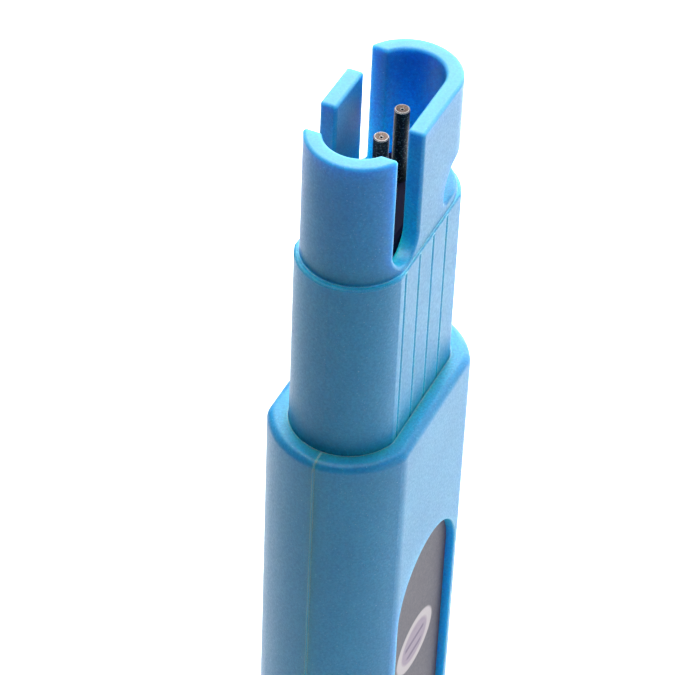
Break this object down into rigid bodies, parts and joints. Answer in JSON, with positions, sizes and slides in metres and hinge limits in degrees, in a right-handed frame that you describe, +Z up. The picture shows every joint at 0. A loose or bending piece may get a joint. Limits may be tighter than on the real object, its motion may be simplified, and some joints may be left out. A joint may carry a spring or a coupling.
{
  "type": "punch down tool",
  "caption": "Hand punch down tool with a slotted obround nose sleeve that slides over fixed push pins against a return spring in a moulded body.",
  "frame": {"origin": "centre of the flat tail end", "axes": "+Z up the tool from tail to nose, X along the long axis of the obround section, -Y the flat with the label"},
  "size_m": [0.0244, 0.0138, 0.15],
  "materials": {
    "blue_plastic": "fine-textured moulded plastic, light blue",
    "black_plastic": "black glass-filled plastic",
    "black_steel": "black-oxide steel",
    "bright_steel": "bright zinc-plated steel",
    "spring_steel": "oiled spring wire",
    "grey_label": "satin printed label, grey-mauve",
    "buffer_rubber": "black rubber"
  },
  "bodies": {
    "body": {"body_shell_left": "blue_plastic", "body_shell_right": "blue_plastic", "tail_cap": "blue_plastic", "shell_screws": "bright_steel", "label_plate": "grey_label", "push_pin_inner": "black_steel", "push_pin_outer": "black_steel", "pin_holder": "black_plastic", "core_post": "black_plastic", "pin_backing_plate": "bright_steel", "holder_cross_pin": "bright_steel", "guide_rod": "bright_steel", "anchor_pin": "bright_steel", "rod_clip": "bright_steel", "spring_seat": "bright_steel", "travel_buffer": "buffer_rubber", "return_spring": "spring_steel"},
    "slider": {"nose_sleeve": "blue_plastic", "travel_stop_pin": "bright_steel", "thrust_washer": "bright_steel"}
  },
  "joints": [
    {"name": "nose_slide", "type": "slide", "parent": "body", "child": "slider", "axis": [0, 0, -1], "range_m": [0, 0.007], "stiffness_N_per_m": 800, "springref_m": -0.008, "deforming": ["return_spring"]}
  ]
}
